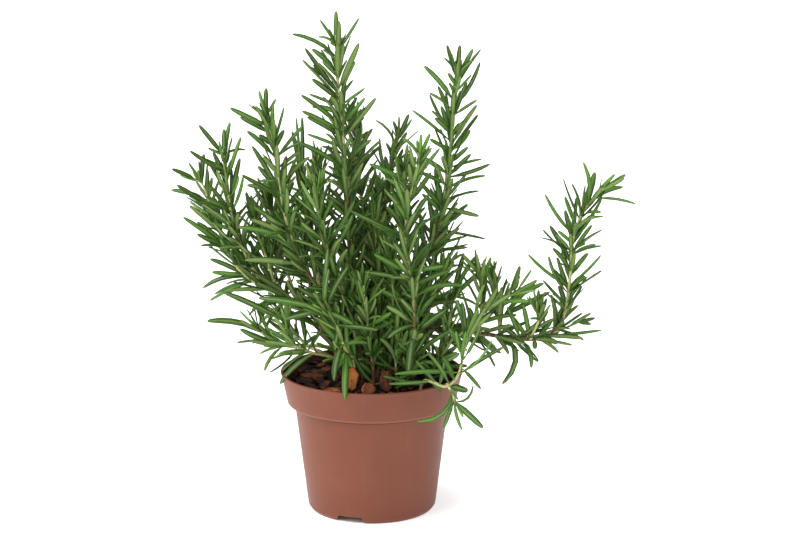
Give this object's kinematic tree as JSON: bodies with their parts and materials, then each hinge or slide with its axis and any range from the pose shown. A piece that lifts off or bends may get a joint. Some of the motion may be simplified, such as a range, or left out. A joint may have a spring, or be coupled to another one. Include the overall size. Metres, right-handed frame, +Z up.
{
  "type": "potted rosemary plant",
  "caption": "Potted rosemary: upright and trailing leafy stems with opposite needle leaves, rooted in soil and bark mulch in a thin tapered nursery pot.",
  "frame": {"origin": "on the floor under the middle of the whole plant's outline; the pot's own axis stands 18 mm to -X and 8 mm to -Y of it", "axes": "+Z up, out of the pot; -Y is the side that the picture shows; +X to the right in the picture, towards the trailing stem"},
  "size_m": [0.2952, 0.1522, 0.3291],
  "materials": {
    "terracotta_plastic": "satin",
    "potting_soil": "matte",
    "bark": "matte",
    "rosemary_leaf": "satin",
    "rosemary_stem": "matte"
  },
  "bodies": {
    "root": {"bark_chip_01": "bark", "bark_chip_02": "bark", "bark_chip_03": "bark", "bark_chip_04": "bark", "bark_chip_05": "bark", "bark_chip_06": "bark", "bark_chip_07": "bark", "bark_chip_08": "bark", "bark_chip_09": "bark", "bark_chip_10": "bark", "bark_chip_11": "bark", "bark_chip_12": "bark", "bark_chip_13": "bark", "bark_chip_14": "bark", "bark_chip_15": "bark", "pot": "terracotta_plastic", "potting_soil": "potting_soil", "shoot_back": "rosemary_leaf", "shoot_back_far_left": "rosemary_leaf", "shoot_back_left": "rosemary_leaf", "shoot_back_middle": "rosemary_leaf", "shoot_back_right": "rosemary_leaf", "shoot_centre_back": "rosemary_leaf", "shoot_far_left": "rosemary_leaf", "shoot_front_centre": "rosemary_leaf", "shoot_front_left": "rosemary_leaf", "shoot_front_middle": "rosemary_leaf", "shoot_front_right": "rosemary_leaf", "shoot_front_right_twig": "rosemary_leaf", "shoot_inner_left": "rosemary_leaf", "shoot_inner_left_side": "rosemary_leaf", "shoot_inner_middle": "rosemary_leaf", "shoot_inner_right": "rosemary_leaf", "shoot_left": "rosemary_leaf", "shoot_left_behind": "rosemary_leaf", "shoot_left_centre": "rosemary_leaf", "shoot_left_inner": "rosemary_leaf", "shoot_low_left": "rosemary_leaf", "shoot_low_left_back": "rosemary_leaf", "shoot_low_left_inner": "rosemary_leaf", "shoot_right_front": "rosemary_leaf", "shoot_right_inner": "rosemary_leaf", "shoot_right_low": "rosemary_leaf", "shoot_sprout_back": "rosemary_leaf", "shoot_sprout_far_left": "rosemary_leaf", "shoot_sprout_front": "rosemary_leaf", "shoot_sprout_left": "rosemary_leaf", "shoot_sprout_middle": "rosemary_leaf", "shoot_sprout_right": "rosemary_leaf", "shoot_tall_centre": "rosemary_leaf", "shoot_tall_right": "rosemary_leaf", "shoot_trailing": "rosemary_leaf", "shoot_trailing_side_1": "rosemary_leaf", "shoot_trailing_side_2": "rosemary_leaf", "shoot_trailing_side_3": "rosemary_leaf", "shoot_trailing_side_4": "rosemary_leaf", "shoot_trailing_tuft": "rosemary_leaf"}
  },
  "joints": []
}
